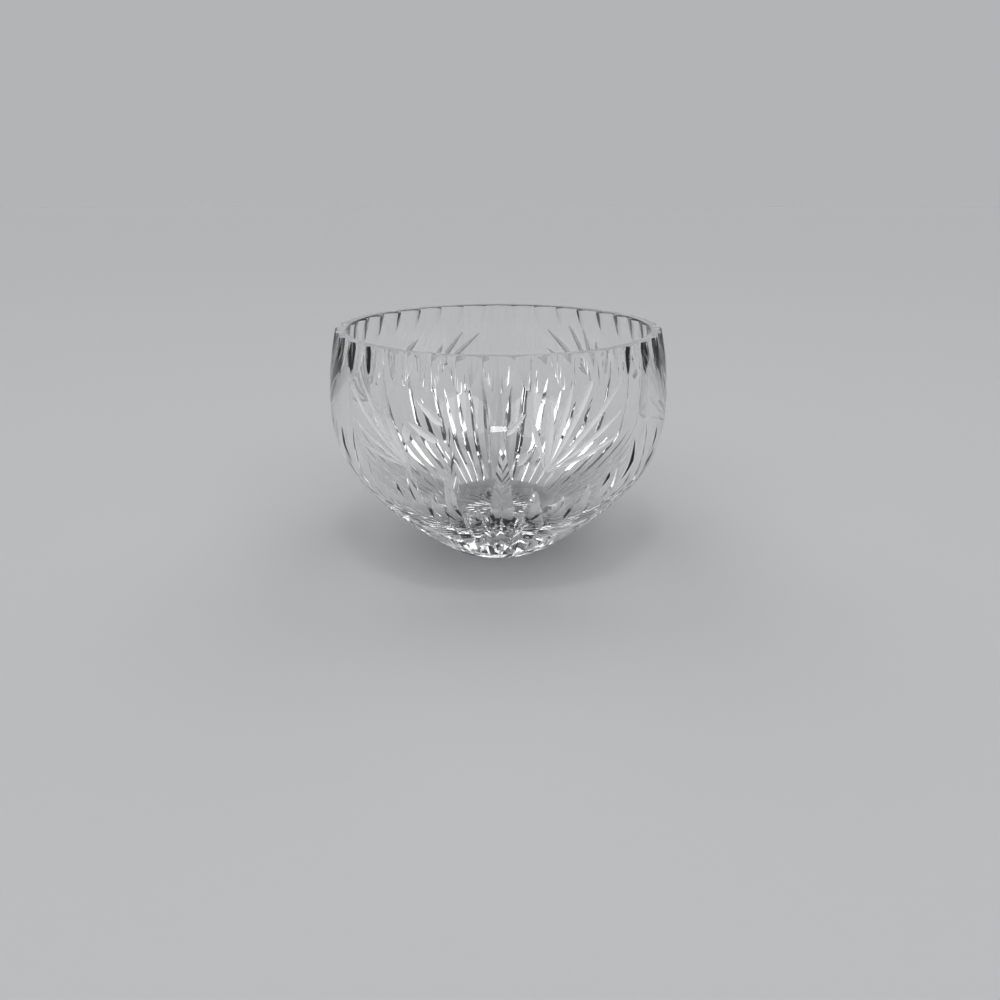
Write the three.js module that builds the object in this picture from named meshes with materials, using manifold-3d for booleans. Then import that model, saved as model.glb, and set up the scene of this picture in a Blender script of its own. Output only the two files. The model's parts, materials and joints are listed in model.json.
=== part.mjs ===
// A bowl of lead crystal, blown thick in one piece of glass and then cut on wheels.
// Millimetres, +Z up. The origin is the middle of the flat foot that the bowl stands on.
// Angles are in degrees round the bowl, from its front (-Y) and growing towards its right (+X).

import * as THREE from 'three';
import { mergeVertices } from 'three/addons/utils/BufferGeometryUtils.js';
import Module from 'manifold-3d';

// Outside of the blown bowl: a flaring lower wall, a round belly and a rim drawn in a little
const FOOT_DIAMETER = 57;
const FOOT_FLARE = 38;
const FLARE_REACH = 48;
const BELLY_DIAMETER = 150;
const BELLY_HEIGHT = 68;
const BELLY_REACH = 24;
const RIM_RISE = 32;
const RIM_DRAW_IN = 4.2;

// Thickness of the glass, and the flat inner floor that turns up into the wall
const RIM_WALL = 5.3;
const BELLY_WALL = 7.5;
const FLOOR_THICKNESS = 16.2;
const FLOOR_DIAMETER = 49;
const FLOOR_TURN = 22;
const FLOOR_REACH = 22;
const INSIDE_REACH = 33;

// Round flutes cut side by side down from the rim, one of them at the front
const FLUTE_COUNT = 36;
const FLUTE_LENGTH = 12.5;
const FLUTE_DEPTH = 1.35;
const FLUTE_WHEEL_RADIUS = 18.5;

// The sharp wheel that makes every V cut
const MITRE_ANGLE = 112;

// The wall's pattern is a panel, repeated round the bowl; its cuts lie at offsets from its middle
const PANEL_COUNT = 3;
const PANEL_TURN = -6.4;

// Lancets: long cuts that rise from just above the foot, in order across the panel
const LANCETS = [
  { offset: -52.5, tip: 66 },
  { offset: -45.5, tip: 53 },
  { offset: -39, tip: 50 },
  { offset: -33, tip: 47 },
  { offset: -27, tip: 49 },
  { offset: -20.9, tip: 67 },
  { offset: -14.2, tip: 48 },
  { offset: -7.6, tip: 77 },
  { offset: 0, tip: 41 },
  { offset: 7.7, tip: 72 },
  { offset: 17.8, tip: 50 },
  { offset: 26.9, tip: 46 },
  { offset: 35.4, tip: 50 },
  { offset: 42.9, tip: 53 },
  { offset: 52.1, tip: 66 },
  { offset: 60, tip: 48 },
];
const LANCET_FOOT = 2.5;
const LANCET_RUN_OUT = 12;
const LANCET_MEETING = 30;
const LANCET_FULLNESS = 0.85;
const LANCET_OVERLAP = 1.1;

// Fans: rays that spread from one point, each with its lean from upright away from the panel's middle
const FAN_OFFSET = 20.1;
const FAN_HEIGHT = 57;
const RIGHT_RAYS = [
  { lean: -15, length: 24, width: 2 },
  { lean: 4, length: 28, width: 3.2 },
  { lean: 18, length: 36, width: 2.6 },
  { lean: 30, length: 44, width: 2.6 },
  { lean: 47, length: 46, width: 2.6 },
  { lean: 59, length: 40, width: 2.4 },
  { lean: 72, length: 34, width: 2 },
];
const LEFT_RAYS = [
  { lean: 27, length: 26, width: 3.6 },
  { lean: 39, length: 38, width: 2.8 },
  { lean: 50, length: 44, width: 2.6 },
  { lean: 64, length: 34, width: 2.4 },
  { lean: 78, length: 27, width: 2 },
];
const RAY_WIDEST = 0.6;

// Leaves: short broad cuts that slant down towards the tall lancets beside the panel's middle
const LEAVES = [
  { offset: -17.8, height: 84.3, lean: 129, length: 14.6, width: 3.6 },
  { offset: -20.3, height: 75.5, lean: 118, length: 14.6, width: 3.6 },
  { offset: 14.4, height: 80.5, lean: 222, length: 11.4, width: 2.2 },
  { offset: 16.1, height: 66.3, lean: 222, length: 8, width: 1.8 },
];
const LEAF_WIDEST = 0.7;

// Drop: a small pointed cut standing on the tip of a lancet
const DROP_OFFSET = -20.9;
const DROP_HEIGHT = 67;
const DROP_LENGTH = 8.5;
const DROP_WIDTH = 3.6;
const DROP_WIDEST = 0.45;

// Star cut into the underside of the foot, inside the flat ring that the bowl stands on
const STAR_RAYS = 24;
const STAR_DIAMETER = 44;
const STAR_RAY_WIDTH = 3.8;
const STAR_WIDEST = 0.62;

// How finely the round forms are divided
const WALL_SIDES = 60;
const INSIDE_SIDES = 48;
const LOWER_RINGS = 6;
const UPPER_RINGS = 3;
const INSIDE_RINGS = 6;
const FLUTE_SIDES = 24;
const LANCET_STEP = 10;
const RAY_STEP = 10;
const FEWEST_STEPS = 3;
const STAR_STEPS = 3;
const WALL_SAMPLES = 200;

// How far a cutter reaches past the glass, so that each cut is clean
const CUTTER_LIFT = 1.5;
const TIP_LIFT = 0.15;
const OVERRUN = 4;

const FOOT_RADIUS = FOOT_DIAMETER / 2;
const BELLY_RADIUS = BELLY_DIAMETER / 2;
const HEIGHT = BELLY_HEIGHT + RIM_RISE;
const RIM_RADIUS = BELLY_RADIUS - RIM_DRAW_IN;
const MITRE_SLOPE = Math.tan(THREE.MathUtils.degToRad(MITRE_ANGLE / 2));
const PANEL_ANGLE = 360 / PANEL_COUNT;

const wasm = await Module();
wasm.setup();

/** The lower half of a wall: from `start`, leaving at `angle` degrees, up to upright at the belly. */
function lowerCurve(start, angle, reach, bellyRadius, bellyReach) {
  const lean = THREE.MathUtils.degToRad(angle);
  return new THREE.CubicBezierCurve(
    start,
    new THREE.Vector2(start.x + reach * Math.cos(lean), start.y + reach * Math.sin(lean)),
    new THREE.Vector2(bellyRadius, BELLY_HEIGHT - bellyReach),
    new THREE.Vector2(bellyRadius, BELLY_HEIGHT),
  );
}

/** The upper half of a wall: upright at the belly, then bending in to the rim. */
function upperCurve(bellyRadius, rimRadius) {
  return new THREE.QuadraticBezierCurve(
    new THREE.Vector2(bellyRadius, BELLY_HEIGHT),
    new THREE.Vector2(bellyRadius, BELLY_HEIGHT + RIM_RISE / 2),
    new THREE.Vector2(rimRadius, HEIGHT),
  );
}

/** Points of a wall from its lower end to the rim, as radius and height. */
function wallPoints(lower, upper, lowerRings, upperRings) {
  return [...lower.getPoints(lowerRings), ...upper.getPoints(upperRings).slice(1)];
}

/** A lathed form standing upright, from profile points given as radius and height. */
function turned(points, sides) {
  return new THREE.LatheGeometry(points, sides).rotateX(Math.PI / 2);
}

/** A closed geometry as a solid that can be cut. */
function solidFrom(geometry) {
  const bare = geometry.clone();
  bare.deleteAttribute('normal');
  bare.deleteAttribute('uv');
  const merged = mergeVertices(bare);
  const corners = merged.index.array;
  const faces = [];
  for (let i = 0; i < corners.length; i += 3) {
    const [a, b, c] = [corners[i], corners[i + 1], corners[i + 2]];
    if (a !== b && b !== c && c !== a) {
      faces.push(a, b, c);
    }
  }
  return new wasm.Manifold(new wasm.Mesh({
    numProp: 3,
    vertProperties: new Float32Array(merged.attributes.position.array),
    triVerts: new Uint32Array(faces),
  }));
}

/** A solid as a geometry with flat faces. */
function geometryFrom(solid) {
  const mesh = solid.getMesh();
  const geometry = new THREE.BufferGeometry();
  geometry.setAttribute('position', new THREE.BufferAttribute(mesh.vertProperties, 3));
  geometry.setIndex(new THREE.BufferAttribute(mesh.triVerts, 1));
  geometry.computeVertexNormals();
  return geometry;
}

const outsideLower = lowerCurve(
  new THREE.Vector2(FOOT_RADIUS, 0), FOOT_FLARE, FLARE_REACH, BELLY_RADIUS, BELLY_REACH,
);
const outsideUpper = upperCurve(BELLY_RADIUS, RIM_RADIUS);
const outsideWall = wallPoints(outsideLower, outsideUpper, WALL_SAMPLES, WALL_SAMPLES);

/** The outside's radius at a height, and its outward direction there as radius and height. */
function wallAt(height) {
  const last = outsideWall.length - 2;
  const above = outsideWall.findIndex((point) => point.y > height);
  const index = above < 0 ? last : THREE.MathUtils.clamp(above - 1, 0, last);
  const low = outsideWall[index];
  const along = outsideWall[index + 1].clone().sub(low);
  return {
    radius: low.x + (along.x * (height - low.y)) / along.y,
    outward: new THREE.Vector2(along.y, -along.x).normalize(),
  };
}

/** A place on the outside of the wall for a cutter, with half the width of its cut there. */
function wallStation(angle, height, halfWidth) {
  const { radius, outward } = wallAt(height);
  const turn = THREE.MathUtils.degToRad(angle);
  return {
    point: new THREE.Vector3(radius * Math.sin(turn), -radius * Math.cos(turn), height),
    outward: new THREE.Vector3(outward.x * Math.sin(turn), -outward.x * Math.cos(turn), outward.y),
    halfWidth,
  };
}

/** The V section of a cut at a station: its bottom in the glass and its two edges outside it. */
function mitreSection(station, along) {
  const { point, outward, halfWidth } = station;
  const side = outward.clone().cross(along).normalize();
  const edge = halfWidth + CUTTER_LIFT * MITRE_SLOPE;
  const lifted = point.clone().addScaledVector(outward, CUTTER_LIFT);
  return [
    point.clone().addScaledVector(outward, -halfWidth / MITRE_SLOPE),
    lifted.clone().addScaledVector(side, edge),
    lifted.clone().addScaledVector(side, -edge),
  ];
}

/** A closed wedge that follows its stations, as the path of the sharp wheel through the glass. */
function mitreCutter(stations) {
  const positions = [];
  stations.forEach((station, i) => {
    const before = stations[Math.max(i - 1, 0)].point;
    const after = stations[Math.min(i + 1, stations.length - 1)].point;
    for (const corner of mitreSection(station, after.clone().sub(before))) {
      positions.push(corner.x, corner.y, corner.z);
    }
  });
  const faces = [0, 2, 1];
  for (let i = 0; i < stations.length - 1; i += 1) {
    for (let corner = 0; corner < 3; corner += 1) {
      const a = 3 * i + corner;
      const b = 3 * i + ((corner + 1) % 3);
      faces.push(a, b, b + 3, a, b + 3, a + 3);
    }
  }
  const end = 3 * (stations.length - 1);
  faces.push(end, end + 1, end + 2);
  const geometry = new THREE.BufferGeometry();
  geometry.setAttribute('position', new THREE.Float32BufferAttribute(positions, 3));
  geometry.setIndex(faces);
  return geometry;
}

/** Half the width of a cut at a share of its length: its ends are points, just clear of the glass. */
function pointedHalfWidth(share, widest, width) {
  const reach = share < widest ? widest : 1 - widest;
  const full = 1 - ((share - widest) / reach) ** 2;
  return full > 0 ? (full * width) / 2 : -TIP_LIFT;
}

/** A straight cut, pointed at both ends, that leaves a place on the wall at a lean from upright. */
function pointedCutter({ angle, height, lean, length, width, widest }) {
  const direction = THREE.MathUtils.degToRad(lean);
  const steps = Math.max(Math.ceil(length / RAY_STEP), FEWEST_STEPS);
  const stations = [];
  for (let step = 0; step <= steps; step += 1) {
    const share = step / steps;
    const place = height + share * length * Math.cos(direction);
    const aside = (share * length * Math.sin(direction)) / wallAt(place).radius;
    stations.push(wallStation(
      angle + THREE.MathUtils.radToDeg(aside),
      place,
      pointedHalfWidth(share, widest, width),
    ));
  }
  return mitreCutter(stations);
}

/** Half the angle that a lancet may take: a quarter of the angle between its two neighbours. */
function lancetHalfAngle(index) {
  const last = LANCETS.length - 1;
  const before = index === 0 ? LANCETS[last].offset - PANEL_ANGLE : LANCETS[index - 1].offset;
  const after = index === last ? LANCETS[0].offset + PANEL_ANGLE : LANCETS[index + 1].offset;
  return THREE.MathUtils.degToRad((after - before) / 4);
}

/** Half the width of a lancet at a height: full between its run-out and where it leaves its neighbours. */
function lancetHalfWidth(height, tip, halfAngle) {
  const above = Math.min((tip - height) / (tip - LANCET_MEETING), 1) ** LANCET_FULLNESS;
  const below = Math.min((height - LANCET_FOOT) / LANCET_RUN_OUT, 1);
  const full = wallAt(height).radius * Math.tan(halfAngle) * LANCET_OVERLAP;
  return full * above * below;
}

/** A lancet's cutter, from its tip down to its other point above the foot. */
function lancetCutter(angle, tip, halfAngle) {
  const steps = Math.ceil((tip - LANCET_FOOT) / LANCET_STEP);
  const stations = [];
  for (let step = 0; step <= steps; step += 1) {
    const height = THREE.MathUtils.lerp(tip, LANCET_FOOT, step / steps);
    const ends = step === 0 || step === steps;
    stations.push(wallStation(angle, height, ends ? -TIP_LIFT : lancetHalfWidth(height, tip, halfAngle)));
  }
  return mitreCutter(stations);
}

/** The cutters of a fan on the side given by `hand`, 1 or -1, of the panel whose middle is given. */
function fanCutters(middle, hand, rays) {
  return rays.map(({ lean, length, width }) => pointedCutter({
    angle: middle + hand * FAN_OFFSET,
    height: FAN_HEIGHT,
    lean: hand * lean,
    length,
    width,
    widest: RAY_WIDEST,
  }));
}

/** The cutters of one panel. */
function panelCutters(middle) {
  return [
    ...LANCETS.map(({ offset, tip }, index) => lancetCutter(middle + offset, tip, lancetHalfAngle(index))),
    ...fanCutters(middle, 1, RIGHT_RAYS),
    ...fanCutters(middle, -1, LEFT_RAYS),
    ...LEAVES.map(({ offset, ...leaf }) => pointedCutter({
      angle: middle + offset,
      widest: LEAF_WIDEST,
      ...leaf,
    })),
    pointedCutter({
      angle: middle + DROP_OFFSET,
      height: DROP_HEIGHT,
      lean: 0,
      length: DROP_LENGTH,
      width: DROP_WIDTH,
      widest: DROP_WIDEST,
    }),
  ];
}

/** The cutters of the whole wall. */
function wallCutters() {
  const middles = Array.from({ length: PANEL_COUNT }, (_, index) => PANEL_TURN + index * PANEL_ANGLE);
  return middles.flatMap(panelCutters);
}

/** The round cutter of one flute, which is deepest at the rim and leaves the wall below it. */
function fluteCutter(angle) {
  const bottom = new THREE.Vector2(wallAt(HEIGHT - FLUTE_LENGTH).radius, HEIGHT - FLUTE_LENGTH);
  const top = new THREE.Vector2(RIM_RADIUS - FLUTE_DEPTH, HEIGHT);
  const along = top.clone().sub(bottom).normalize();
  const outward = new THREE.Vector2(along.y, -along.x);
  const length = top.distanceTo(bottom) + 2 * OVERRUN;
  const middle = bottom.clone().add(top).divideScalar(2).addScaledVector(outward, FLUTE_WHEEL_RADIUS);
  return new THREE.CylinderGeometry(FLUTE_WHEEL_RADIUS, FLUTE_WHEEL_RADIUS, length, FLUTE_SIDES)
    .rotateX(Math.PI / 2)
    .rotateX(Math.atan2(along.x, along.y))
    .translate(0, -middle.x, middle.y)
    .rotateZ(THREE.MathUtils.degToRad(angle));
}

/** The cutters of all flutes. */
function fluteCutters() {
  return Array.from({ length: FLUTE_COUNT }, (_, index) => fluteCutter((index * 360) / FLUTE_COUNT));
}

/** The cutters of the star, one for each ray from the middle of the foot. */
function starCutters() {
  const down = new THREE.Vector3(0, 0, -1);
  return Array.from({ length: STAR_RAYS }, (_, index) => {
    const turn = (index * 2 * Math.PI) / STAR_RAYS;
    const stations = [];
    for (let step = 0; step <= STAR_STEPS; step += 1) {
      const share = step / STAR_STEPS;
      const radius = (share * STAR_DIAMETER) / 2;
      stations.push({
        point: new THREE.Vector3(radius * Math.sin(turn), -radius * Math.cos(turn), 0),
        outward: down,
        halfWidth: pointedHalfWidth(share, STAR_WIDEST, STAR_RAY_WIDTH),
      });
    }
    return mitreCutter(stations);
  });
}

/** The blown bowl before cutting, solid up to the rim. */
function blank() {
  return turned([
    new THREE.Vector2(0, 0),
    ...wallPoints(outsideLower, outsideUpper, LOWER_RINGS, UPPER_RINGS),
    new THREE.Vector2(0, HEIGHT),
  ], WALL_SIDES);
}

/** The space inside the bowl, carried on above the rim. */
function cavity() {
  const bellyRadius = BELLY_RADIUS - BELLY_WALL;
  const rimRadius = RIM_RADIUS - RIM_WALL;
  const floorEdge = new THREE.Vector2(FLOOR_DIAMETER / 2, FLOOR_THICKNESS);
  const lower = lowerCurve(floorEdge, FLOOR_TURN, FLOOR_REACH, bellyRadius, INSIDE_REACH);
  const upper = upperCurve(bellyRadius, rimRadius);
  return turned([
    new THREE.Vector2(0, FLOOR_THICKNESS),
    ...wallPoints(lower, upper, INSIDE_RINGS, UPPER_RINGS),
    new THREE.Vector2(rimRadius, HEIGHT + OVERRUN),
    new THREE.Vector2(0, HEIGHT + OVERRUN),
  ], INSIDE_SIDES);
}

/** The finished glass: the blank, hollowed and cut all over. */
function cutGlass() {
  let glass = solidFrom(blank()).subtract(solidFrom(cavity()));
  for (const cutter of [...wallCutters(), ...fluteCutters(), ...starCutters()]) {
    glass = glass.subtract(solidFrom(cutter));
  }
  return geometryFrom(glass);
}

const leadCrystal = new THREE.MeshStandardMaterial({
  color: 0xe6edef,
  roughness: 0.04,
  metalness: 0,
});

const crystalBowl = new THREE.Mesh(cutGlass(), leadCrystal);
crystalBowl.name = 'crystal_bowl';

const bowl = new THREE.Group();
bowl.add(crystalBowl);

export default bowl;
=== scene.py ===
"""A cut lead-crystal bowl on a pale floor: its fine geometry, its glass, the light and the camera."""

from __future__ import annotations

import json
import logging
import math
from dataclasses import dataclass, field
from enum import Enum

import bpy
from mathutils import Matrix, Vector

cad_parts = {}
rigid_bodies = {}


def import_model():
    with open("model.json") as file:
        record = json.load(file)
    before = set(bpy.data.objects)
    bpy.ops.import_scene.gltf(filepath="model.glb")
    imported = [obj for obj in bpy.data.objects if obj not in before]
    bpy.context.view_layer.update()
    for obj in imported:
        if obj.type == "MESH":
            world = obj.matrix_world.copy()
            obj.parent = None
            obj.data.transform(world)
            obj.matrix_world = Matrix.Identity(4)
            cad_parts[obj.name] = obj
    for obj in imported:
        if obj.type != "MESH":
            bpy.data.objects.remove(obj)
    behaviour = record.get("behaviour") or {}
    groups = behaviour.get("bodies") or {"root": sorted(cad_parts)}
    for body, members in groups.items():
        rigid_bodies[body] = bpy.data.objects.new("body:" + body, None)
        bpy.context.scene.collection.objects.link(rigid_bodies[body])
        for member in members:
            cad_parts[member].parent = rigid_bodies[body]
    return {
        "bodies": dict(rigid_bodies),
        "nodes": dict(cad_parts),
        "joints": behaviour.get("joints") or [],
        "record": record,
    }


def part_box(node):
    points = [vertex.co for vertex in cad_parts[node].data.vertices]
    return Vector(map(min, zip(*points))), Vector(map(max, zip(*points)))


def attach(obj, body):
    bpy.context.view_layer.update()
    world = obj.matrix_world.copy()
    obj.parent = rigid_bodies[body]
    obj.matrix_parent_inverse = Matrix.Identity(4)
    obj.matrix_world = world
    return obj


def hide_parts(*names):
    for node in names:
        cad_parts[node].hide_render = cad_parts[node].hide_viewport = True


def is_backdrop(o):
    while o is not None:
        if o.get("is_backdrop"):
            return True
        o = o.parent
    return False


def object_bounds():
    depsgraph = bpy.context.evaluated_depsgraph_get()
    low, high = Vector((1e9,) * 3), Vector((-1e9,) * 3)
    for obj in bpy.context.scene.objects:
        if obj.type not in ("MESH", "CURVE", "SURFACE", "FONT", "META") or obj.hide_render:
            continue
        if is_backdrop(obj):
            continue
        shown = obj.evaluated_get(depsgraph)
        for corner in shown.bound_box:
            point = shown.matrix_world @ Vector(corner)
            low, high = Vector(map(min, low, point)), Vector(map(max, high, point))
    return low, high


LOG = logging.getLogger("crystal_bowl")
MM = 0.001
NODE = "crystal_bowl"
BODY = "root"
FULL_TURN = 2 * math.pi
SAME_PLACE = 0.001 * MM
GLASS_BOUNCES = 24


class Hand(Enum):
    """The side of a panel's middle that a cut lies on, as the sign of its offset."""

    RIGHT = 1
    LEFT = -1

    @property
    def mirror(self) -> Matrix:
        """What brings a cut of a panel's right side to this side."""
        return Matrix.Diagonal((self.value, 1, 1, 1))


class Surface(Enum):
    """How a face of the glass was finished, as its material index while the glass is cut.

    Blown faces and most cuts are polished; ground faces keep the fine grain of the wheel.
    """

    BLOWN = 0
    CUT = 1
    GROUND = 2


def linear(colour: str) -> tuple[float, float, float, float]:
    """Turns an sRGB hex colour into the linear colour that nodes take.

    Args:
        colour: The colour as "#rrggbb".

    Returns:
        Red, green, blue and an alpha of 1.
    """
    channels = [int(colour[i : i + 2], 16) / 255 for i in (1, 3, 5)]
    bent = [c / 12.92 if c <= 0.04045 else ((c + 0.055) / 1.055) ** 2.4 for c in channels]
    return bent[0], bent[1], bent[2], 1.0


def add_node(
    tree: bpy.types.NodeTree, kind: str, settings: dict | None = None, links: dict | None = None
) -> bpy.types.Node:
    """Adds a node with its settings and links.

    Args:
        tree: The node tree that it goes in.
        kind: The node's type name.
        settings: Values by property name or, where there is no such property, by input name or number.
        links: Output sockets by the name or number of the input that each feeds.

    Returns:
        The new node.
    """
    node = tree.nodes.new(kind)
    for name, value in (settings or {}).items():
        if isinstance(name, str) and hasattr(node, name):
            setattr(node, name, value)
        else:
            node.inputs[name].default_value = value
    for name, socket in (links or {}).items():
        tree.links.new(socket, node.inputs[name])
    return node


def ramp(
    tree: bpy.types.NodeTree,
    value: bpy.types.NodeSocket,
    given: tuple[float, float],
    made: tuple[float, float],
) -> bpy.types.NodeSocket:
    """Maps a value from one range to another, and holds it at the ends.

    Args:
        tree: The node tree that it goes in.
        value: The value to map.
        given: The range that the value comes in.
        made: What the two ends of that range become.

    Returns:
        The mapped value.
    """
    settings = {
        "From Min": given[0],
        "From Max": given[1],
        "To Min": made[0],
        "To Max": made[1],
    }
    return add_node(tree, "ShaderNodeMapRange", settings, {"Value": value}).outputs["Result"]


def combine(
    tree: bpy.types.NodeTree, operation: str, one: bpy.types.NodeSocket, other: bpy.types.NodeSocket
) -> bpy.types.NodeSocket:
    """Makes one value of two by a math node's operation."""
    node = add_node(tree, "ShaderNodeMath", {"operation": operation}, {0: one, 1: other})
    return node.outputs[0]


def bezier(corners: tuple[tuple[float, float], ...], share: float) -> tuple[float, float]:
    """The point at a share of a cubic curve with four corners."""
    rest = 1 - share
    weights = (rest**3, 3 * rest**2 * share, 3 * rest * share**2, share**3)
    return (
        sum(w * corner[0] for w, corner in zip(weights, corners)),
        sum(w * corner[1] for w, corner in zip(weights, corners)),
    )


def spin_selected(steps: int) -> None:
    """Spins what is selected once round the Z axis and closes the result, facing outwards."""
    bpy.ops.mesh.spin(steps=steps, angle=FULL_TURN, center=(0, 0, 0), axis=(0, 0, 1))
    bpy.ops.mesh.select_all(action="SELECT")
    bpy.ops.mesh.remove_doubles(threshold=SAME_PLACE)
    bpy.ops.mesh.normals_make_consistent(inside=False)


def turn_selected(angle: float, centre: Vector) -> None:
    """Turns what is selected about the X axis, right-handed; the operator's own sign is opposite."""
    bpy.ops.transform.rotate(value=-angle, orient_axis="X", center_override=centre)


def select_only(piece: bpy.types.Object) -> None:
    """Deselects everything, then selects a piece and makes it active."""
    bpy.ops.object.select_all(action="DESELECT")
    piece.select_set(True)
    bpy.context.view_layer.objects.active = piece


@dataclass(frozen=True)
class BlownWall:
    """The outside of the blown bowl as a profile of radius and height."""

    belly_radius: float
    rim_height: float
    foot_radius: float = 28.5 * MM
    foot_flare: float = math.radians(38)
    flare_reach: float = 48 * MM
    belly_height: float = 68 * MM
    belly_reach: float = 24 * MM
    rim_draw_in: float = 4.2 * MM
    halvings: int = 40

    @property
    def rim_radius(self) -> float:
        """The outside radius at the rim."""
        return self.belly_radius - self.rim_draw_in

    def lower(self, share: float) -> tuple[float, float]:
        """Radius and height at a share of the way from the foot up to the belly."""
        corners = (
            (self.foot_radius, 0.0),
            (
                self.foot_radius + self.flare_reach * math.cos(self.foot_flare),
                self.flare_reach * math.sin(self.foot_flare),
            ),
            (self.belly_radius, self.belly_height - self.belly_reach),
            (self.belly_radius, self.belly_height),
        )
        return bezier(corners, share)

    def upper(self, share: float) -> tuple[float, float]:
        """Radius and height at a share of the way from the belly up to the rim."""
        rise = self.rim_height - self.belly_height
        return self.belly_radius - self.rim_draw_in * share**2, self.belly_height + rise * share

    def share_at(self, height: float) -> float:
        """The share of the lower curve that reaches a height, found by halving."""
        low, high = 0.0, 1.0
        for _ in range(self.halvings):
            middle = (low + high) / 2
            if self.lower(middle)[1] < height:
                low = middle
            else:
                high = middle
        return (low + high) / 2

    def radius_at(self, height: float) -> float:
        """The outside radius at a height; below the foot the flare carries straight on."""
        if height <= 0:
            return self.foot_radius + height / math.tan(self.foot_flare)
        if height < self.belly_height:
            return self.lower(self.share_at(height))[0]
        return self.upper((height - self.belly_height) / (self.rim_height - self.belly_height))[0]

    def tilt_at(self, height: float) -> float:
        """How far the wall's outward direction points up at a height, as an angle."""
        step = 0.01 * MM
        change = self.radius_at(height + step) - self.radius_at(height - step)
        return math.atan2(-change, 2 * step)

    def place(self, angle: float, height: float) -> Vector:
        """The point of the wall at an angle round the bowl and a height."""
        radius = self.radius_at(height)
        return Vector((radius * math.sin(angle), -radius * math.cos(angle), height))

    def outward(self, angle: float, height: float) -> Vector:
        """The wall's outward direction at an angle round the bowl and a height."""
        tilt = self.tilt_at(height)
        flat = math.cos(tilt)
        return Vector((flat * math.sin(angle), -flat * math.cos(angle), math.sin(tilt)))


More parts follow.
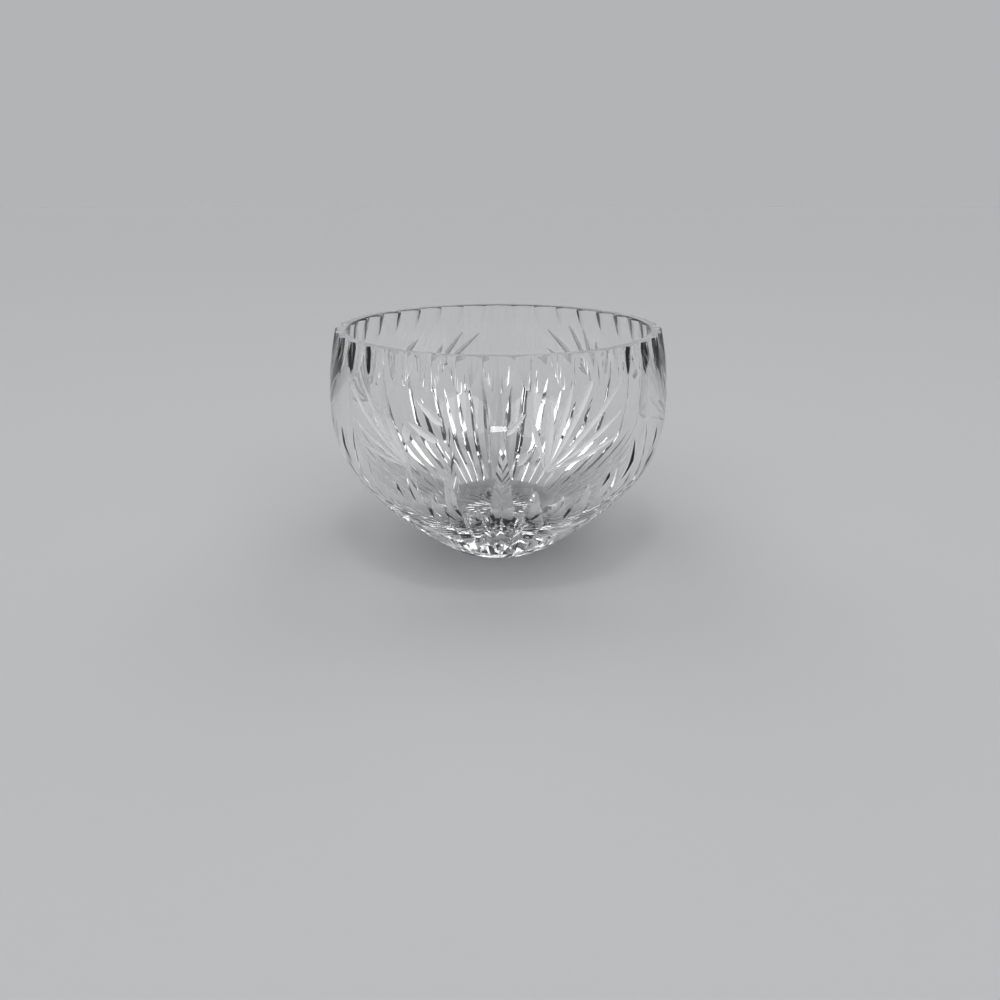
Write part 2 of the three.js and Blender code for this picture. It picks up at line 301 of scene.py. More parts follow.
@dataclass(frozen=True)
class Blank:
    """The blown bowl before cutting: one spun profile down the outside, over the rim and inside."""

    wall: BlownWall
    rim_wall: float = 5.3 * MM
    belly_wall: float = 7.5 * MM
    floor_thickness: float = 16.2 * MM
    floor_radius: float = 24.5 * MM
    floor_turn: float = math.radians(22)
    floor_reach: float = 22 * MM
    floor_round: float = 2 * MM
    inside_reach: float = 33 * MM
    rim_round_inside: float = 1.0 * MM
    rim_round_outside: float = 0.4 * MM
    foot_rings: int = 3
    lower_rings: int = 56
    upper_rings: int = 24
    inside_rings: int = 44
    round_steps: int = 8
    sides: int = 288

    def outside(self) -> list[tuple[float, float]]:
        """The profile from the middle of the foot up to the rim's outer edge."""
        foot = [(self.wall.foot_radius * i / self.foot_rings, 0.0) for i in range(self.foot_rings)]
        lower = [self.wall.lower(i / self.lower_rings) for i in range(self.lower_rings + 1)]
        top = 1 - self.rim_round_outside / (self.wall.rim_height - self.wall.belly_height)
        upper = [self.wall.upper(top * i / self.upper_rings) for i in range(1, self.upper_rings + 1)]
        return foot + lower + upper

    def rim(self) -> list[tuple[float, float]]:
        """The profile over the rim: a small round outside, the flat and a larger round inside."""
        top = self.wall.rim_height
        outer = self.wall.rim_radius
        inner = outer - self.rim_wall
        profile = []
        for i in range(1, self.round_steps + 1):
            turn = math.pi / 2 * i / self.round_steps
            profile.append(
                (
                    outer - self.rim_round_outside * (1 - math.cos(turn)),
                    top - self.rim_round_outside * (1 - math.sin(turn)),
                )
            )
        for i in range(self.round_steps + 1):
            turn = math.pi / 2 * i / self.round_steps
            profile.append(
                (
                    inner + self.rim_round_inside * (1 - math.sin(turn)),
                    top - self.rim_round_inside * (1 - math.cos(turn)),
                )
            )
        return profile

    def inside(self) -> list[tuple[float, float]]:
        """The profile from the rim's inner edge down to the middle of the floor."""
        belly = self.wall.belly_radius - self.belly_wall
        inner = self.wall.rim_radius - self.rim_wall
        rise = self.wall.rim_height - self.wall.belly_height
        top = 1 - self.rim_round_inside / rise
        upper = [
            (belly + (inner - belly) * share**2, self.wall.belly_height + rise * share)
            for share in (top * i / self.upper_rings for i in range(self.upper_rings - 1, -1, -1))
        ]
        rising = (math.cos(self.floor_turn), math.sin(self.floor_turn))
        knee = (
            self.floor_radius + self.floor_round * rising[0],
            self.floor_thickness + self.floor_round * rising[1],
        )
        corners = (
            (belly, self.wall.belly_height),
            (belly, self.wall.belly_height - self.inside_reach),
            (
                self.floor_radius + self.floor_reach * rising[0],
                self.floor_thickness + self.floor_reach * rising[1],
            ),
            knee,
        )
        lower = [bezier(corners, i / self.inside_rings) for i in range(1, self.inside_rings + 1)]
        return upper + lower + self.floor(knee)

    def floor(self, knee: tuple[float, float]) -> list[tuple[float, float]]:
        """The profile from the rounded knee, where the wall starts to rise, to the floor's middle."""
        corner = (self.floor_radius, self.floor_thickness)
        flat = (self.floor_radius - self.floor_round, self.floor_thickness)
        corners = (knee, corner, corner, flat)
        turn = [bezier(corners, i / self.round_steps) for i in range(1, self.round_steps + 1)]
        rings = range(self.foot_rings - 1, -1, -1)
        return turn + [(flat[0] * i / self.foot_rings, self.floor_thickness) for i in rings]

    def build(self) -> bpy.types.Object:
        """Extrudes the profile point by point and spins it into the blank.

        Returns:
            The blank, closed and facing outwards.
        """
        profile = self.outside() + self.rim() + self.inside()
        places = [Vector((0.0, -radius, height)) for radius, height in profile]
        bpy.ops.object.select_all(action="DESELECT")
        # A plane that is merged at its centre gives the profile's first point
        bpy.ops.mesh.primitive_plane_add(size=self.rim_wall, location=places[0])
        blank = bpy.context.object
        blank.name = "cut_crystal"
        bpy.ops.object.transform_apply(location=True, rotation=True, scale=True)
        bpy.ops.object.mode_set(mode="EDIT")
        bpy.ops.mesh.select_all(action="SELECT")
        bpy.ops.mesh.merge(type="CENTER")
        for before, after in zip(places, places[1:]):
            bpy.ops.mesh.extrude_region_move(TRANSFORM_OT_translate={"value": after - before})
        bpy.ops.mesh.select_all(action="SELECT")
        spin_selected(self.sides)
        bpy.ops.object.mode_set(mode="OBJECT")
        return blank


@dataclass(frozen=True)
class Station:
    """A place of the wheel along a cut, in the wheel's own plane: local Z along, local -Y outwards."""

    across: float
    along: float
    tilt: float
    half_width: float


@dataclass(frozen=True)
class MitreWheel:
    """The sharp wheel: it leaves a V cut that is as deep as its width allows."""

    angle: float = math.radians(112)
    lift: float = 1.5 * MM
    tip_lift: float = 0.1 * MM
    tip_share: float = 1e-6

    @property
    def slope(self) -> float:
        """Half a cut's width for each unit of its depth."""
        return math.tan(self.angle / 2)

    def pointed(self, share: float, widest: float, width: float) -> float:
        """Half the width at a share of a cut that is pointed at both ends."""
        reach = widest if share < widest else 1 - widest
        full = 1 - ((share - widest) / reach) ** 2
        return full * width / 2 if full > self.tip_share else -self.tip_lift

    def top(self, station: Station) -> Vector:
        """The middle of the wheel's section at a station, clear of the glass."""
        return Vector(
            (
                0.0,
                station.across - self.lift * math.cos(station.tilt),
                station.along + self.lift * math.sin(station.tilt),
            )
        )

    def section(self, name: str, station: Station) -> bpy.types.Object:
        """Models the wheel's V section at a station and leaves it selected in edit mode.

        Args:
            name: The cutter's name.
            station: Where the wheel stands.

        Returns:
            The section, a single face in the wheel's own plane.
        """
        bpy.ops.object.select_all(action="DESELECT")
        # A circle of three sides, moved off its middle to its base and sized to the V's width and depth
        bpy.ops.mesh.primitive_circle_add(vertices=3, radius=1.0, fill_type="NGON")
        cutter = bpy.context.object
        cutter.name = name
        half = station.half_width + self.lift * self.slope
        depth = half / self.slope
        half_side = math.sin(math.pi / 3)
        below_middle = math.cos(math.pi / 3)
        bpy.ops.object.mode_set(mode="EDIT")
        bpy.ops.mesh.select_all(action="SELECT")
        bpy.ops.transform.translate(value=(0.0, below_middle, 0.0))
        bpy.ops.transform.resize(
            value=(half / half_side, depth / (1 + below_middle), 1.0), center_override=(0, 0, 0)
        )
        turn_selected(-station.tilt, Vector())
        bpy.ops.transform.translate(value=self.top(station))
        return cutter

    def carve(self, name: str, stations: list[Station]) -> bpy.types.Object:
        """Models the wedge that the wheel takes out of the glass along its stations.

        Args:
            name: The cutter's name.
            stations: Where the wheel passes, in order.

        Returns:
            A closed cutter in the wheel's own plane.
        """
        cutter = self.section(name, stations[0])
        half = stations[0].half_width + self.lift * self.slope
        for before, after in zip(stations, stations[1:]):
            place = self.top(after)
            wider = after.half_width + self.lift * self.slope
            bpy.ops.mesh.extrude_region_move(
                TRANSFORM_OT_translate={"value": place - self.top(before)}
            )
            turn_selected(before.tilt - after.tilt, place)
            bpy.ops.transform.resize(value=(wider / half,) * 3, center_override=place)
            half = wider
        bpy.ops.mesh.select_all(action="SELECT")
        bpy.ops.mesh.normals_make_consistent(inside=False)
        bpy.ops.object.mode_set(mode="OBJECT")
        return cutter


@dataclass(frozen=True)
class CutterSet:
    """Copies of cutters that never meet inside the glass, and the finish that they leave."""

    name: str
    copies: list[tuple[bpy.types.Object, Matrix]]
    surface: Surface = Surface.CUT

    def joined(self) -> bpy.types.Object:
        """Copies each cutter to its place and joins the copies into one.

        Returns:
            The joined cutters, facing outwards.
        """
        bpy.ops.object.select_all(action="DESELECT")
        made = []
        for cutter, place in self.copies:
            copy = cutter.copy()
            copy.data = cutter.data.copy()
            copy.data.transform(place)
            bpy.context.scene.collection.objects.link(copy)
            copy.select_set(True)
            made.append(copy)
        bpy.context.view_layer.objects.active = made[0]
        bpy.ops.object.join()
        joined = bpy.context.object
        joined.name = self.name
        bpy.ops.object.mode_set(mode="EDIT")
        bpy.ops.mesh.select_all(action="SELECT")
        bpy.ops.mesh.normals_make_consistent(inside=False)
        bpy.ops.object.mode_set(mode="OBJECT")
        return joined

    def cut(self, glass: bpy.types.Object, finishes: list[bpy.types.Material]) -> None:
        """Takes the cutters out of the glass and marks how the new faces are finished.

        Args:
            glass: The piece to cut.
            finishes: The materials of the glass, in the order of Surface.
        """
        cutter = self.joined()
        for finish in finishes:
            cutter.data.materials.append(finish)
        for face in cutter.data.polygons:
            face.material_index = self.surface.value
        select_only(glass)
        boolean = glass.modifiers.new(self.name, "BOOLEAN")
        boolean.operation = "DIFFERENCE"
        boolean.solver = "MANIFOLD"
        boolean.object = cutter
        bpy.ops.object.modifier_apply(modifier=boolean.name)
        bpy.data.objects.remove(cutter)
        LOG.info("%s: %d faces in the glass", self.name, len(glass.data.polygons))


def deal(
    name: str,
    row: list[tuple[int, bpy.types.Object, Matrix]],
    count: int,
    surface: Surface = Surface.CUT,
) -> list[CutterSet]:
    """Deals copies in turn to sets, because cutters that are neighbours meet inside the glass.

    Args:
        name: What the sets are named for.
        row: The copies, each as its number in the row, its cutter and its place.
        count: How many sets there are.
        surface: The finish that the cutters leave.

    Returns:
        The sets, in which no two copies meet.
    """
    sets = [CutterSet(f"{name}_{i}", [], surface) for i in range(count)]
    for number, cutter, place in row:
        sets[number % count].copies.append((cutter, place))
    return sets


@dataclass(frozen=True)
class Panel:
    """The pattern's repeat, several times round the bowl; its cuts lie at angles from its middle."""

    count: int = 3
    turn: float = math.radians(-6.4)

    @property
    def angle(self) -> float:
        """The part of a full turn that one panel takes."""
        return FULL_TURN / self.count

    def places(self) -> list[Matrix]:
        """Where each panel goes, from one with its middle at the front."""
        return [Matrix.Rotation(self.turn + self.angle * i, 4, "Z") for i in range(self.count)]


@dataclass(frozen=True)
class Lancets:
    """Long cuts, pointed at both ends, that rise side by side from just above the foot.

    Each is listed by its angle from the panel's middle, in degrees, and the height of its tip.
    """

    wall: BlownWall
    wheel: MitreWheel
    panel: Panel
    spread: tuple[tuple[float, float], ...] = (
        (-52.5, 66 * MM),
        (-45.5, 53 * MM),
        (-39, 50 * MM),
        (-33, 47 * MM),
        (-27, 49 * MM),
        (-20.9, 67 * MM),
        (-14.2, 48 * MM),
        (-7.6, 77 * MM),
        (0, 41 * MM),
        (7.7, 72 * MM),
        (17.8, 50 * MM),
        (26.9, 46 * MM),
        (35.4, 50 * MM),
        (42.9, 53 * MM),
        (52.1, 66 * MM),
        (60, 48 * MM),
    )
    foot: float = 2.5 * MM
    run_out: float = 12 * MM
    meeting: float = 30 * MM
    fullness: float = 0.85
    overlap: float = 1.1
    step: float = 2.4 * MM
    set_count: int = 2

    def half_angle(self, index: int) -> float:
        """Half the angle that a lancet may take: a quarter of that between its two neighbours."""
        last = len(self.spread) - 1
        repeat = math.degrees(self.panel.angle)
        before = self.spread[index - 1][0] - (repeat if index == 0 else 0)
        after = self.spread[0][0] + repeat if index == last else self.spread[index + 1][0]
        return math.radians((after - before) / 4)

    def half_width(self, height: float, tip: float, half_angle: float) -> float:
        """Half a lancet's width: full between its run-out and where it leaves its neighbours."""
        above = min(max(tip - height, 0.0) / (tip - self.meeting), 1.0) ** self.fullness
        below = min(max(height - self.foot, 0.0) / self.run_out, 1.0) ** self.fullness
        full = self.wall.radius_at(height) * math.tan(half_angle) * self.overlap
        return full * above * below

    def carve(self, index: int) -> bpy.types.Object:
        """Models the cutter of a lancet at the front, from its tip down to its other point."""
        tip = self.spread[index][1]
        half_angle = self.half_angle(index)
        steps = math.ceil((tip - self.foot) / self.step)
        stations = []
        for i in range(steps + 1):
            height = tip + (self.foot - tip) * i / steps
            half = self.half_width(height, tip, half_angle)
            if i in (0, steps):
                half = -self.wheel.tip_lift
            radius = self.wall.radius_at(height)
            stations.append(Station(-radius, height, self.wall.tilt_at(height), half))
        return self.wheel.carve("lancet", stations)

    def sets(self) -> list[CutterSet]:
        """Every other lancet in one set and the rest in another."""
        row = []
        for index, (offset, _) in enumerate(self.spread):
            cutter = self.carve(index)
            turn = Matrix.Rotation(math.radians(offset), 4, "Z")
            row.extend((index, cutter, place @ turn) for place in self.panel.places())
        return deal("lancets", row, self.set_count)


@dataclass(frozen=True)
class PointedCut:
    """A straight cut on the wall, pointed at both ends."""

    offset: float
    height: float
    lean: float
    length: float
    width: float
    widest: float
    step: float = 1.6 * MM

    def frame(self, wall: BlownWall) -> Matrix:
        """The wheel's plane where the cut starts: local Z along the cut, local -Y out of the wall."""
        out = wall.outward(self.offset, self.height)
        east = Vector((math.cos(self.offset), math.sin(self.offset), 0.0))
        north = east.cross(-out).normalized()
        along = (north * math.cos(self.lean) + east * math.sin(self.lean)).normalized()
        side = along.cross(out)
        place = Matrix((side, -out, along)).transposed().to_4x4()
        place.translation = wall.place(self.offset, self.height)
        return place

    def carve(self, name: str, wall: BlownWall, wheel: MitreWheel) -> bpy.types.Object:
        """Models the cut's cutter where it lies in a panel at the front.

        Args:
            name: The cutter's name.
            wall: The wall that it follows.
            wheel: The wheel that makes it.

        Returns:
            The cutter, in place.
        """
        frame = self.frame(wall)
        side = frame.col[0].to_3d()
        back = frame.inverted()
        steps = math.ceil(self.length / self.step)
        point = frame.translation.copy()
        stations = []
        for i in range(steps + 1):
            angle = math.atan2(point.x, -point.y)
            along = wall.outward(angle, point.z).cross(side).normalized()
            local = back @ point
            heading = back.to_3x3() @ along
            stations.append(
                Station(
                    local.y,
                    local.z,
                    math.atan2(heading.y, heading.z),
                    wheel.pointed(i / steps, self.widest, self.width),
                )
            )
            point = point + along * (self.length / steps)
            angle = math.atan2(point.x, -point.y)
            point = wall.place(angle, point.z)
        cutter = wheel.carve(name, stations)
        cutter.data.transform(frame)
        return cutter


@dataclass(frozen=True)
class Fans:
    """Rays that spread from one point on each side of a panel's middle.

    Each ray is a lean from upright away from the middle, in degrees, a length and a width. The
    left-hand fan has no steep rays: leaves and a drop have their place there.
    """

    wall: BlownWall
    wheel: MitreWheel
    panel: Panel
    offset: float = math.radians(20.1)
    height: float = 57 * MM
    right_rays: tuple[tuple[float, float, float], ...] = (
        (-15, 24 * MM, 2 * MM),
        (4, 28 * MM, 3.2 * MM),
        (18, 36 * MM, 2.6 * MM),
        (30, 44 * MM, 2.6 * MM),
        (47, 46 * MM, 2.6 * MM),
        (59, 40 * MM, 2.4 * MM),
        (72, 34 * MM, 2 * MM),
    )
    left_rays: tuple[tuple[float, float, float], ...] = (
        (27, 26 * MM, 3.6 * MM),
        (39, 38 * MM, 2.8 * MM),
        (50, 44 * MM, 2.6 * MM),
        (64, 34 * MM, 2.4 * MM),
        (78, 27 * MM, 2 * MM),
    )
    widest: float = 0.6
    set_count: int = 2

    def sets(self) -> list[CutterSet]:
        """Every other ray of each fan in one set and the rest in another."""
        row = []
        for hand, rays in ((Hand.RIGHT, self.right_rays), (Hand.LEFT, self.left_rays)):
            for index, (lean, length, width) in enumerate(rays):
                ray = PointedCut(
                    self.offset, self.height, math.radians(lean), length, width, self.widest
                )
                cutter = ray.carve("ray", self.wall, self.wheel)
                places = [place @ hand.mirror for place in self.panel.places()]
                row.extend((index, cutter, place) for place in places)
        return deal("fan_rays", row, self.set_count, Surface.GROUND)


@dataclass(frozen=True)
class Leaves:
    """Short broad cuts that slant down towards the tall lancets beside a panel's middle.

    Each starts at an angle from the middle, in degrees, and a height, and has a lean from upright,
    in degrees, a length and a width.
    """

    wall: BlownWall
    wheel: MitreWheel
    panel: Panel
    spread: tuple[tuple[float, float, float, float, float], ...] = (
        (-17.8, 84.3 * MM, 129, 14.6 * MM, 3.6 * MM),
        (-20.3, 75.5 * MM, 118, 14.6 * MM, 3.6 * MM),
        (14.4, 80.5 * MM, 222, 11.4 * MM, 2.2 * MM),
        (16.1, 66.3 * MM, 222, 8 * MM, 1.8 * MM),
    )
    widest: float = 0.7

    def sets(self) -> list[CutterSet]:
        """All leaves in one set."""
        cutters = []
        for offset, height, lean, length, width in self.spread:
            leaf = PointedCut(
                math.radians(offset), height, math.radians(lean), length, width, self.widest
            )
            cutters.append(leaf.carve("leaf", self.wall, self.wheel))
        copies = [(cutter, place) for cutter in cutters for place in self.panel.places()]
        return [CutterSet("leaves", copies, Surface.GROUND)]


@dataclass(frozen=True)
class Drops:
    """Small pointed cuts, each standing on the tip of a lancet."""

    wall: BlownWall
    wheel: MitreWheel
    panel: Panel
    offset: float = math.radians(-20.9)
    height: float = 67 * MM
    length: float = 8.5 * MM
    width: float = 3.6 * MM
    widest: float = 0.45

    def sets(self) -> list[CutterSet]:
        """All drops in one set."""
        drop = PointedCut(self.offset, self.height, 0.0, self.length, self.width, self.widest)
        cutter = drop.carve("drop", self.wall, self.wheel)
        copies = [(cutter, place) for place in self.panel.places()]
        return [CutterSet("drops", copies, Surface.GROUND)]


@dataclass(frozen=True)
class RimFlutes:
    """Round flutes side by side, deepest at the rim and running out below it, one at the front."""

    wall: BlownWall
    count: int = 36
    length: float = 12.5 * MM
    depth: float = 1.35 * MM
    wheel_radius: float = 18.5 * MM
    overrun: float = 4 * MM
    sides: int = 144
    set_count: int = 2

    def carve(self) -> bpy.types.Object:
        """Models the round cutter of the flute at the front: a leaning rod."""
        foot = self.wall.rim_height - self.length
        bottom = Vector((0.0, -self.wall.radius_at(foot), foot))
        top = Vector((0.0, -(self.wall.rim_radius - self.depth), self.wall.rim_height))
        along = (top - bottom).normalized()
        out = along.cross(Vector((-1.0, 0.0, 0.0)))
        middle = (top + bottom) / 2 + out * self.wheel_radius
        bpy.ops.object.select_all(action="DESELECT")
        bpy.ops.mesh.primitive_cylinder_add(
            vertices=self.sides,
            radius=self.wheel_radius,
            depth=(top - bottom).length + 2 * self.overrun,
            location=middle,
            rotation=(-math.atan2(along.y, along.z), 0.0, 0.0),
        )
        rod = bpy.context.object
        rod.name = "flute"
        bpy.ops.object.transform_apply(location=True, rotation=True, scale=True)
        return rod

    def sets(self) -> list[CutterSet]:
        """Every other flute in one set and the rest in another."""
        rod = self.carve()
        turns = [Matrix.Rotation(FULL_TURN * i / self.count, 4, "Z") for i in range(self.count)]
        row = [(index, rod, turn) for index, turn in enumerate(turns)]
        return deal("flutes", row, self.set_count)


@dataclass(frozen=True)
class BaseStar:
    """The star cut into the underside, inside the flat ring that the bowl stands on."""

    wheel: MitreWheel
    rays: int = 24
    diameter: float = 44 * MM
    width: float = 3.8 * MM
    widest: float = 0.62
    steps: int = 14
    set_count: int = 3

    def sets(self) -> list[CutterSet]:
        """Every third ray in a set: nearer ones meet round the middle."""
        stations = []
        for i in range(self.steps + 1):
            share = i / self.steps
            half = self.wheel.pointed(share, self.widest, self.width)
            stations.append(Station(-share * self.diameter / 2, 0.0, -math.pi / 2, half))
        ray = self.wheel.carve("star_ray", stations)
        turns = [Matrix.Rotation(FULL_TURN * i / self.rays, 4, "Z") for i in range(self.rays)]
        row = [(index, ray, turn) for index, turn in enumerate(turns)]
        return deal("star", row, self.set_count)


@dataclass(frozen=True)
class LeadCrystal:
    """Glass with 24% lead oxide, fire polished where it was blown and acid polished where it was cut.

    It is clear and without colour, bends light more than window glass does, and its polished cuts
    are a trace less sharp than the blown wall. The fans, leaves and drops are fine-ground and left
    so: they scatter most of the light and read as pale strokes. The rim's flat top keeps less grain.
    """

    rim_height: float
    ior: float = 1.545
    colour: str = "#fefefe"
    blown_roughness: float = 0.0
    cut_roughness: float = 0.03
    ground_roughness: float = 0.3
    ground_scatter: float = 0.75
    rim_grain: float = 0.45
    worn_roughness: float = 0.32
    scratch_size: float = 0.8 * MM
    scratched: tuple[float, float] = (0.35, 0.65)
    least_worn: float = 0.4
    edge: float = 0.05 * MM
    ripple_size: float = 9 * MM
    ripple_height: float = 0.02 * MM

    def material(self) -> bpy.types.Material:
        """Makes the glass, which is rougher where it was cut, ground or worn.

        Returns:
            The material, which reads the faces' "finish" attribute and object coordinates.
        """
        material = bpy.data.materials.new("lead_crystal_cut_and_polished")
        material.use_nodes = True
        tree = material.node_tree
        tree.nodes.clear()
        place = add_node(tree, "ShaderNodeTexCoord").outputs["Object"]
        height = add_node(tree, "ShaderNodeSeparateXYZ", None, {"Vector": place}).outputs["Z"]
        finish = add_node(tree, "ShaderNodeAttribute", {"attribute_name": "finish"}).outputs["Fac"]
        polish = ramp(
            tree,
            finish,
            (Surface.BLOWN.value, Surface.CUT.value),
            (self.blown_roughness, self.cut_roughness),
        )
        ground = self.ground(tree, finish, height)
        dull = ramp(tree, ground, (0, 1), (0, self.ground_roughness))
        flats = combine(tree, "MAXIMUM", dull, self.wear(tree, place, height))
        glass = add_node(
            tree,
            "ShaderNodeBsdfPrincipled",
            {"Base Color": linear(self.colour), "IOR": self.ior, "Metallic": 0.0},
            {
                "Roughness": combine(tree, "MAXIMUM", polish, flats),
                "Normal": self.ripple(tree, place),
                "Transmission Weight": ramp(tree, ground, (0, 1), (1, 1 - self.ground_scatter)),
            },
        )
        add_node(tree, "ShaderNodeOutputMaterial", None, {"Surface": glass.outputs[0]})
        return material

    def ground(
        self, tree: bpy.types.NodeTree, finish: bpy.types.NodeSocket, height: bpy.types.NodeSocket
    ) -> bpy.types.NodeSocket:
        """Makes the share of grain: 1 on the ground cuts, less on the rim's flat top, 0 elsewhere."""
        cuts = ramp(tree, finish, (Surface.CUT.value, Surface.GROUND.value), (0, 1))
        top = (self.rim_height - self.edge, self.rim_height)
        rim = ramp(tree, height, top, (0, self.rim_grain))
        return combine(tree, "MAXIMUM", cuts, rim)

    def wear(
        self, tree: bpy.types.NodeTree, place: bpy.types.NodeSocket, height: bpy.types.NodeSocket
    ) -> bpy.types.NodeSocket:
        """Makes the fine scratches of the standing ring: rough only on the flat underside."""
        low = ramp(tree, height, (0, self.edge), (self.worn_roughness, 0))
        grain = {"Scale": 1 / self.scratch_size, "Detail": 3.0}
        scratches = add_node(tree, "ShaderNodeTexNoise", grain, {"Vector": place}).outputs["Fac"]
        patches = ramp(tree, scratches, self.scratched, (self.least_worn, 1))
        return combine(tree, "MULTIPLY", low, patches)

    def ripple(self, tree: bpy.types.NodeTree, place: bpy.types.NodeSocket) -> bpy.types.NodeSocket:
        """Makes the shallow unevenness that blown and hand-polished glass has."""
        waves = {"Scale": 1 / self.ripple_size, "Detail": 1.0, "Roughness": 0.4}
        height = add_node(tree, "ShaderNodeTexNoise", waves, {"Vector": place}).outputs["Fac"]
        bump = {"Strength": 1.0, "Distance": self.ripple_height}
        return add_node(tree, "ShaderNodeBump", bump, {"Height": height}).outputs["Normal"]


@dataclass
class CutBowl:
    """The finished bowl: the blank with every cut taken out of it, in polished and ground crystal."""

    wall: BlownWall
    wheel: MitreWheel = field(default_factory=MitreWheel)
    panel: Panel = field(default_factory=Panel)
    sharp_angle: float = math.radians(12)

    def sets(self) -> list[CutterSet]:
        """All the bowl's cutters, in the order that they are taken out."""
        makers = (
            Lancets(self.wall, self.wheel, self.panel),
            Drops(self.wall, self.wheel, self.panel),
            Leaves(self.wall, self.wheel, self.panel),
            Fans(self.wall, self.wheel, self.panel),
            RimFlutes(self.wall),
            BaseStar(self.wheel),
        )
        return [cutters for maker in makers for cutters in maker.sets()]

    def weld(self, glass: bpy.types.Object) -> None:
        """Merges points that cuts leave in the same place where they cross."""
        select_only(glass)
        bpy.ops.object.mode_set(mode="EDIT")
        bpy.ops.mesh.select_all(action="SELECT")
        bpy.ops.mesh.remove_doubles(threshold=SAME_PLACE)
        bpy.ops.object.mode_set(mode="OBJECT")

    def mark_finishes(self, glass: bpy.types.Object) -> None:
        """Keeps how each face was finished as an attribute, and leaves the glass one material."""
        mesh = glass.data
        marks = [float(face.material_index) for face in mesh.polygons]
        mesh.attributes.new("finish", "FLOAT", "FACE").data.foreach_set("value", marks)
        for face in mesh.polygons:
            face.material_index = Surface.BLOWN.value
        while len(mesh.materials) > 1:
            mesh.materials.pop()

    def build(self) -> bpy.types.Object:
        """Spins the blank, cuts it and polishes it.

        Returns:
            The bowl, in place of its CAD node.
        """
        before = set(bpy.data.objects)
        glass = Blank(self.wall).build()
        crystal = LeadCrystal(self.wall.rim_height).material()
        markers = [crystal.copy() for surface in Surface if surface is not Surface.BLOWN]
        for material in (crystal, *markers):
            glass.data.materials.append(material)
        for cutters in self.sets():
            cutters.cut(glass, [crystal, *markers])
        for spare in set(bpy.data.objects) - before - {glass}:
            bpy.data.objects.remove(spare)
        self.weld(glass)
        self.mark_finishes(glass)
        for marker in markers:
            bpy.data.materials.remove(marker)
        bpy.ops.object.shade_smooth_by_angle(angle=self.sharp_angle)
        return glass


@dataclass(frozen=True)
class Lamp:
    """A soft lamp: where it stands round the bowl and above the floor, and how it shines."""

    name: str
    around: float
    above: float

    @property
    def way(self) -> Vector:
        """The direction from the bowl to the lamp."""
        level = math.cos(self.above)
        return Vector(
            (level * math.sin(self.around), -level * math.cos(self.around), math.sin(self.above))
        )

    def add(self, kind: str, location: Vector) -> bpy.types.Light:
        """Adds a lamp of a kind that points back along its way, and gives its settings."""
        bpy.ops.object.light_add(type=kind, location=location)
        lamp = bpy.context.object
        lamp.name = self.name
        lamp.rotation_euler = self.way.to_track_quat("Z", "Y").to_euler()
        return lamp.data


@dataclass(frozen=True)
class BroadSun(Lamp):
    """A very wide sun: soft light that is as strong over the whole floor."""

    strength: float
    width: float

    def build(self) -> None:
        """Adds the sun."""
        sun = self.add("SUN", self.way)
        sun.energy = self.strength
        sun.angle = self.width


@dataclass(frozen=True)
class SoftBox(Lamp):
    """A rectangular lamp close by, which glass shows as a bright window."""

    aim: Vector
    distance: float
    size: tuple[float, float]
    watts: float

    def build(self) -> None:
        """Adds the lamp, turned to its aim."""
        box = self.add("AREA", self.aim + self.way * self.distance)
        box.shape = "RECTANGLE"
        box.size, box.size_y = self.size
        box.energy = self.watts


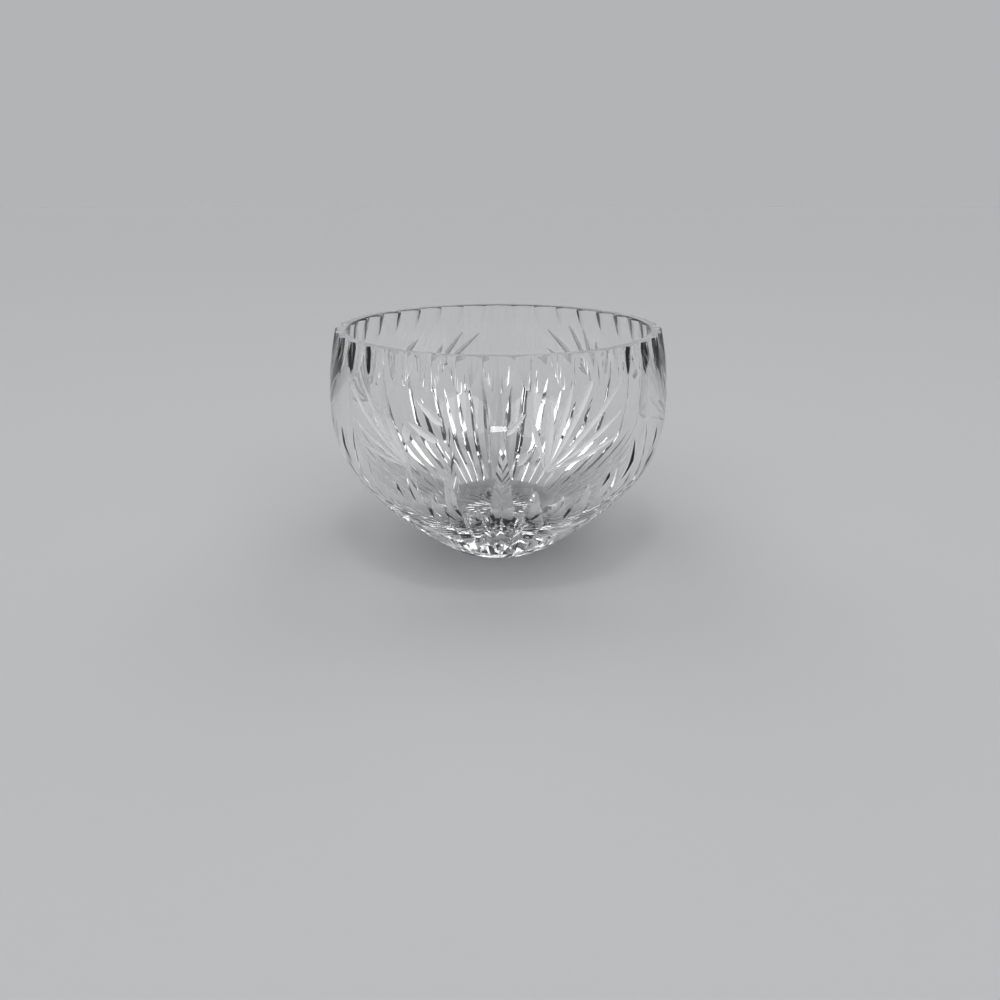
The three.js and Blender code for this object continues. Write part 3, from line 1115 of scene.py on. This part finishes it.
@dataclass(frozen=True)
class Studio:
    """A plain pale floor under soft light, with a pale horizon and a darker ceiling."""

    floor_colour: str = "#bcbebf"
    horizon_colour: str = "#b2b4b5"
    ceiling_colour: str = "#303234"
    pale_up_to: float = math.radians(17)
    dark_from: float = math.radians(34)
    floor_radius: float = 12.0
    floor_sides: int = 96
    floor_gap: float = 0.2 * MM
    sun_count: int = 4
    sun_above: float = math.radians(50)
    sun_width: float = math.radians(46)
    sun_strength: float = 0.8
    box_above: float = math.radians(73)
    box_distance: float = 1.3
    box_size: tuple[float, float] = (0.24, 0.15)
    box_watts: float = 1.65

    def build(self, aim: Vector) -> None:
        """Makes the floor, the surroundings and the lamps.

        Args:
            aim: The point that the soft box is turned to.
        """
        self.floor()
        self.surroundings()
        for index in range(self.sun_count):
            around = FULL_TURN * (index + 0.5) / self.sun_count
            BroadSun(
                f"sun_{index}", around, self.sun_above, self.sun_strength, self.sun_width
            ).build()
        SoftBox(
            name="top_box",
            around=0.0,
            above=self.box_above,
            aim=aim,
            distance=self.box_distance,
            size=self.box_size,
            watts=self.box_watts,
        ).build()

    def floor(self) -> None:
        """Adds the floor, a hair below the foot so that the two faces don't coincide."""
        bpy.ops.object.select_all(action="DESELECT")
        bpy.ops.mesh.primitive_circle_add(
            vertices=self.floor_sides,
            radius=self.floor_radius,
            fill_type="NGON",
            location=(0.0, 0.0, -self.floor_gap),
        )
        floor = bpy.context.object
        floor.name = "pale_floor"
        paint = bpy.data.materials.new("matt_pale_paint")
        paint.use_nodes = True
        shader = paint.node_tree.nodes["Principled BSDF"]
        shader.inputs["Base Color"].default_value = linear(self.floor_colour)
        shader.inputs["Roughness"].default_value = 1.0
        shader.inputs["Specular IOR Level"].default_value = 0.0
        floor.data.materials.append(paint)
        floor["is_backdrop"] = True

    def surroundings(self) -> None:
        """Makes the world: pale along the horizon and darker overhead, the same for every ray."""
        world = bpy.data.worlds.new("studio")
        bpy.context.scene.world = world
        world.use_nodes = True
        tree = world.node_tree
        tree.nodes.clear()
        way = add_node(tree, "ShaderNodeTexCoord").outputs["Generated"]
        up = add_node(tree, "ShaderNodeSeparateXYZ", None, {"Vector": way}).outputs["Z"]
        share = ramp(tree, up, (math.sin(self.pale_up_to), math.sin(self.dark_from)), (0, 1))
        share.node.interpolation_type = "SMOOTHSTEP"
        # The mix node's colour sockets go by number, because sockets of other types have their names
        ends = {"data_type": "RGBA", 6: linear(self.horizon_colour), 7: linear(self.ceiling_colour)}
        colour = add_node(tree, "ShaderNodeMix", ends, {0: share}).outputs[2]
        light = add_node(tree, "ShaderNodeBackground", {"Strength": 1.0}, {"Color": colour})
        add_node(tree, "ShaderNodeOutputWorld", None, {"Surface": light.outputs[0]})


@dataclass(frozen=True)
class PhotoCamera:
    """The camera of the photograph, close in front of the bowl and looking down into it."""

    aside: float = 0.7 * MM
    distance: float = 335.1 * MM
    height: float = 153.1 * MM
    pitch: float = math.radians(22.135)
    lens: float = 27.0
    sensor: float = 36.0
    nearest: float = 10 * MM
    farthest: float = 50.0

    def build(self) -> None:
        """Adds the camera and makes it the scene's."""
        bpy.ops.object.camera_add(location=(self.aside, -self.distance, self.height))
        camera = bpy.context.object
        camera.name = "photo_camera"
        camera.rotation_euler = (math.pi / 2 - self.pitch, 0.0, 0.0)
        camera.data.lens = self.lens
        camera.data.sensor_width = self.sensor
        camera.data.clip_start = self.nearest
        camera.data.clip_end = self.farthest
        bpy.context.scene.camera = camera


def main() -> None:
    """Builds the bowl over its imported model, then its stage."""
    logging.basicConfig(level=logging.INFO, format="%(name)s: %(message)s")
    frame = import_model()
    cad_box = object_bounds()
    PhotoCamera().build()
    low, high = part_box(NODE)
    wall = BlownWall(belly_radius=(high.y - low.y) / 2, rim_height=high.z)
    bowl = CutBowl(wall).build()
    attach(bowl, BODY)
    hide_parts(NODE)
    LOG.info("%s: %d triangles", bowl.name, sum(len(f.vertices) - 2 for f in bowl.data.polygons))
    Studio().build(aim=(low + high) / 2)
    bpy.context.scene.view_settings.view_transform = "Standard"
    bpy.context.scene.cycles.max_bounces = GLASS_BOUNCES
    bpy.context.scene.cycles.transmission_bounces = GLASS_BOUNCES
    boxes = {"cad": cad_box, "visual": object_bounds()}
    json.dumps({k: [list(c) for c in v] for k, v in boxes.items()})


if __name__ == "__main__":
    main()
